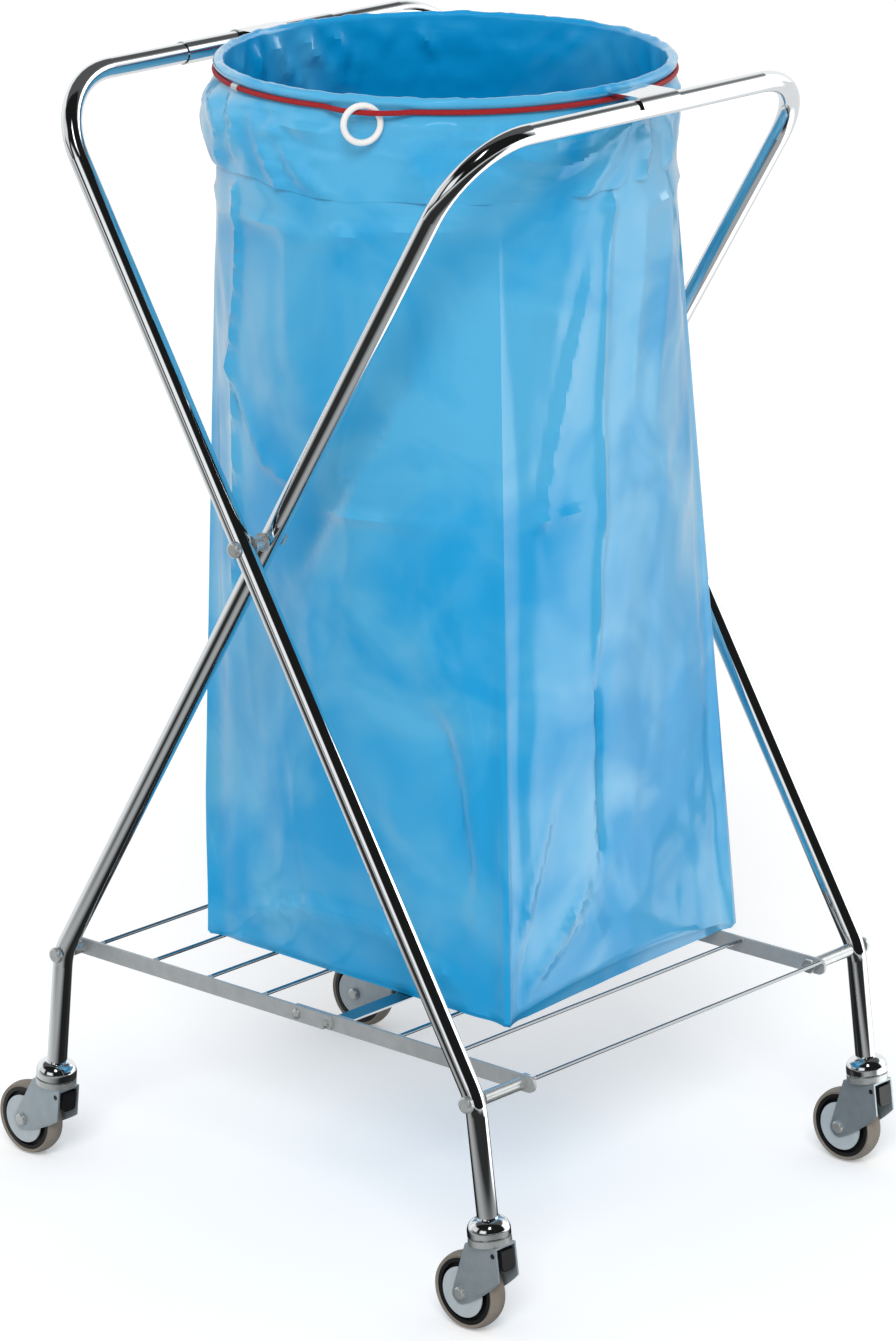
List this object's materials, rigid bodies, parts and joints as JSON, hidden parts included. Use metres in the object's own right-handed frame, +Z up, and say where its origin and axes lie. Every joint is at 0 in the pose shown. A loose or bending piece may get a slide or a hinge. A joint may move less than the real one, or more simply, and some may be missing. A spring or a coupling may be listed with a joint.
{
  "type": "sack holder stand",
  "caption": "Folding cross-legged tube stand on swivel casters with a hoop that holds an open sack over a wire shelf",
  "frame": {"origin": "on the floor, midway between the near and far legs and under the scissor pivot", "axes": "+Z up, +X along the shelf rails from the inner frame's feet to the outer frame's feet, +Y along the top bars"},
  "size_m": [0.7163, 0.597, 1.1251],
  "materials": {
    "chrome_tube": "bright chrome-plated steel tube",
    "zinc_steel": "zinc-plated pressed steel, slightly bluish grey",
    "bright_fasteners": "bright zinc-plated turned fasteners",
    "chrome_wire": "chrome-plated steel wire and hoop",
    "sack_film": "blue translucent polyethylene film, wrinkled and glossy",
    "elastic_red": "dark red covered elastic cord",
    "ring_white": "white moulded plastic",
    "tyre_grey": "warm grey-brown rubber tread",
    "core_black": "black moulded plastic",
    "guard_grey": "light grey moulded plastic",
    "head_chrome": "bright plated pressed steel dome"
  },
  "bodies": {
    "outer_frame": {"outer_frame_tube": "chrome_tube", "pivot_bolts": "bright_fasteners", "pivot_spacers": "bright_fasteners", "pivot_washers": "bright_fasteners", "pivot_nuts": "bright_fasteners", "shelf_bolts": "bright_fasteners", "shelf_spacers": "bright_fasteners", "shelf_nuts": "bright_fasteners", "bar_sleeves": "chrome_tube", "front_caster_head": "head_chrome", "right_caster_head": "head_chrome", "outer_kingpins": "bright_fasteners"},
    "inner_frame": {"inner_frame_tube": "chrome_tube", "knee_rivets": "bright_fasteners", "left_caster_head": "head_chrome", "back_caster_head": "head_chrome", "inner_kingpins": "bright_fasteners"},
    "shelf_front": {"shelf_front": "zinc_steel", "middle_rivets": "bright_fasteners", "stop_pins": "bright_fasteners"},
    "shelf_rear": {"shelf_rear": "zinc_steel", "open_pivot_sleeves": "bright_fasteners"},
    "mouth": {"hoop": "chrome_wire", "hinge_bracket": "chrome_tube", "bar_clip": "chrome_tube", "elastic_band": "elastic_red", "band_crimp": "bright_fasteners", "sack": "sack_film"},
    "pull_ring": {"pull_ring": "ring_white"},
    "front_swivel": {"front_swivel_race": "zinc_steel", "front_fork": "zinc_steel", "front_thread_guards": "guard_grey", "front_axle": "bright_fasteners"},
    "front_wheel": {"front_wheel_centre": "core_black", "front_tyre": "tyre_grey"},
    "front_brake": {"front_brake_tab": "core_black"},
    "right_swivel": {"right_swivel_race": "zinc_steel", "right_fork": "zinc_steel", "right_thread_guards": "guard_grey", "right_axle": "bright_fasteners"},
    "right_wheel": {"right_wheel_centre": "core_black", "right_tyre": "tyre_grey"},
    "right_brake": {"right_brake_tab": "core_black"},
    "left_swivel": {"left_swivel_race": "zinc_steel", "left_fork": "zinc_steel", "left_thread_guards": "guard_grey", "left_axle": "bright_fasteners"},
    "left_wheel": {"left_wheel_centre": "core_black", "left_tyre": "tyre_grey"},
    "left_brake": {"left_brake_tab": "core_black"},
    "back_swivel": {"back_swivel_race": "zinc_steel", "back_fork": "zinc_steel", "back_thread_guards": "guard_grey", "back_axle": "bright_fasteners"},
    "back_wheel": {"back_wheel_centre": "core_black", "back_tyre": "tyre_grey"},
    "back_brake": {"back_brake_tab": "core_black"}
  },
  "joints": [
    {"name": "frame_fold", "type": "hinge", "parent": "outer_frame", "child": "inner_frame", "pos_m": [0, 0, 0.7], "axis": [0, -1, 0], "range_deg": [0, 39]},
    {"name": "shelf_fold", "type": "hinge", "parent": "outer_frame", "child": "shelf_front", "pos_m": [0.28304, 0, 0.22457], "axis": [0, 1, 0], "range_deg": [0, 47.93]},
    {"name": "shelf_middle", "type": "hinge", "parent": "shelf_front", "child": "shelf_rear", "pos_m": [-0.003, 0, 0.22454], "axis": [0, -1, 0], "range_deg": [0, 133.36]},
    {"name": "mouth_lift", "type": "hinge", "parent": "outer_frame", "child": "mouth", "pos_m": [-0.2442, 0, 1.108], "axis": [0, -1, 0], "range_deg": [0, 78], "deforming": ["sack"]},
    {"name": "pull_ring_swing", "type": "hinge", "parent": "mouth", "child": "pull_ring", "pos_m": [0.09545, -0.20982, 1.10891], "axis": [-0.917, -0.3987, 0.0129], "range_deg": [0, 60]},
    {"name": "front_swivel_turn", "type": "hinge", "parent": "outer_frame", "child": "front_swivel", "pos_m": [0.29783, -0.278, 0.11485], "axis": [-0.1219, 0, 0.9925], "continuous": true},
    {"name": "front_wheel_spin", "type": "hinge", "parent": "front_swivel", "child": "front_wheel", "pos_m": [0.27508, -0.278, 0.0375], "axis": [0, 1, 0], "continuous": true},
    {"name": "front_brake_press", "type": "hinge", "parent": "front_swivel", "child": "front_brake", "pos_m": [0.31612, -0.278, 0.08485], "axis": [0, -1, 0], "range_deg": [0, 20]},
    {"name": "right_swivel_turn", "type": "hinge", "parent": "outer_frame", "child": "right_swivel", "pos_m": [0.29783, 0.278, 0.11485], "axis": [-0.1219, 0, 0.9925], "continuous": true},
    {"name": "right_wheel_spin", "type": "hinge", "parent": "right_swivel", "child": "right_wheel", "pos_m": [0.27508, 0.278, 0.0375], "axis": [0, 1, 0], "continuous": true},
    {"name": "right_brake_press", "type": "hinge", "parent": "right_swivel", "child": "right_brake", "pos_m": [0.31612, 0.278, 0.08485], "axis": [0, -1, 0], "range_deg": [0, 20]},
    {"name": "left_swivel_turn", "type": "hinge", "parent": "inner_frame", "child": "left_swivel", "pos_m": [-0.31358, -0.242, 0.10705], "axis": [0.1219, 0, 0.9925], "continuous": true},
    {"name": "left_wheel_spin", "type": "hinge", "parent": "left_swivel", "child": "left_wheel", "pos_m": [-0.35436, -0.242, 0.0375], "axis": [0, 1, 0], "continuous": true},
    {"name": "left_brake_press", "type": "hinge", "parent": "left_swivel", "child": "left_brake", "pos_m": [-0.30309, -0.242, 0.07352], "axis": [0, -1, 0], "range_deg": [0, 20]},
    {"name": "back_swivel_turn", "type": "hinge", "parent": "inner_frame", "child": "back_swivel", "pos_m": [-0.31358, 0.242, 0.10705], "axis": [0.1219, 0, 0.9925], "continuous": true},
    {"name": "back_wheel_spin", "type": "hinge", "parent": "back_swivel", "child": "back_wheel", "pos_m": [-0.35436, 0.242, 0.0375], "axis": [0, 1, 0], "continuous": true},
    {"name": "back_brake_press", "type": "hinge", "parent": "back_swivel", "child": "back_brake", "pos_m": [-0.30309, 0.242, 0.07352], "axis": [0, -1, 0], "range_deg": [0, 20]}
  ],
  "couplings": [
    {"joint": "shelf_fold", "follows": "frame_fold", "ratio": 1.229},
    {"joint": "shelf_middle", "follows": "frame_fold", "ratio": 3.4193},
    {"joint": "mouth_lift", "follows": "frame_fold", "ratio": 2}
  ]
}
